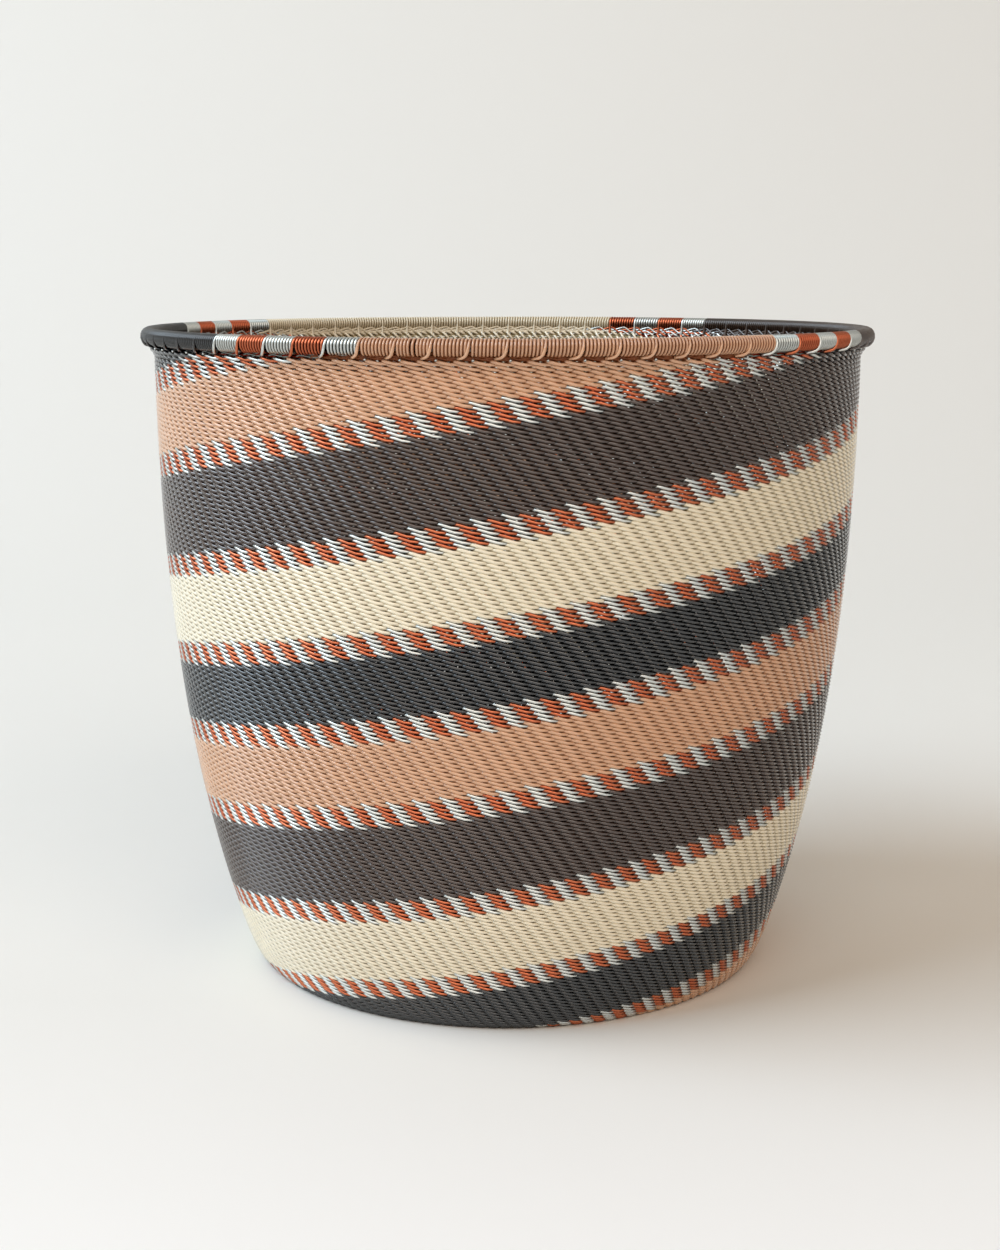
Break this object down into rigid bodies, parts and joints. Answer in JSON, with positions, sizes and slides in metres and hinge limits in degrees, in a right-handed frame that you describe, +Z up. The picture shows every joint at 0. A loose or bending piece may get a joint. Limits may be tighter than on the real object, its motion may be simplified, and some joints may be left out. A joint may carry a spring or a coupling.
{
  "type": "planter basket",
  "caption": "Round bucket-shaped planter basket woven from coloured coated wire in spiral bands edged with silver and copper wire, with a wire-wrapped hoop rim.",
  "frame": {"origin": "middle of the flat underside, on the surface that the basket stands on", "axes": "+Z up along the basket's axis, -Y towards the front that the picture shows, +X to the right"},
  "size_m": [0.2259, 0.226, 0.2],
  "materials": {
    "tan_wire": "semi-gloss coated wire, tan",
    "brown_wire": "semi-gloss coated wire, taupe brown",
    "cream_wire": "semi-gloss coated wire, cream",
    "charcoal_wire": "semi-gloss coated wire, charcoal",
    "silver_wire": "bright bare wire, silver coloured",
    "copper_wire": "bright bare wire, copper coloured",
    "hoop_steel": "drawn hard wire"
  },
  "bodies": {
    "root": {"base_weave": "charcoal_wire", "wall_cream": "cream_wire", "wall_brown": "brown_wire", "wall_tan": "tan_wire", "wall_charcoal": "charcoal_wire", "copper_wires_cream_brown": "copper_wire", "silver_wires_cream_brown": "silver_wire", "copper_wires_brown_tan": "copper_wire", "silver_wires_brown_tan": "silver_wire", "copper_wires_tan_charcoal": "copper_wire", "silver_wires_tan_charcoal": "silver_wire", "copper_wires_charcoal_cream": "copper_wire", "silver_wires_charcoal_cream": "silver_wire", "rim_hoop": "hoop_steel", "rim_wrap_tan": "tan_wire", "rim_wrap_brown": "brown_wire", "rim_wrap_cream": "cream_wire", "rim_wrap_charcoal": "charcoal_wire", "rim_wrap_silver_1": "silver_wire", "rim_wrap_silver_2": "silver_wire", "rim_wrap_silver_3": "silver_wire", "rim_wrap_silver_4": "silver_wire", "rim_wrap_silver_5": "silver_wire", "rim_wrap_silver_6": "silver_wire", "rim_wrap_silver_7": "silver_wire", "rim_wrap_silver_8": "silver_wire", "rim_wrap_silver_9": "silver_wire", "rim_wrap_silver_10": "silver_wire", "rim_wrap_silver_11": "silver_wire", "rim_wrap_copper_1": "copper_wire", "rim_wrap_copper_2": "copper_wire", "rim_wrap_copper_3": "copper_wire", "rim_wrap_copper_4": "copper_wire", "rim_wrap_copper_5": "copper_wire", "rim_wrap_copper_6": "copper_wire", "rim_wrap_copper_7": "copper_wire", "rim_wrap_copper_8": "copper_wire"}
  },
  "joints": []
}
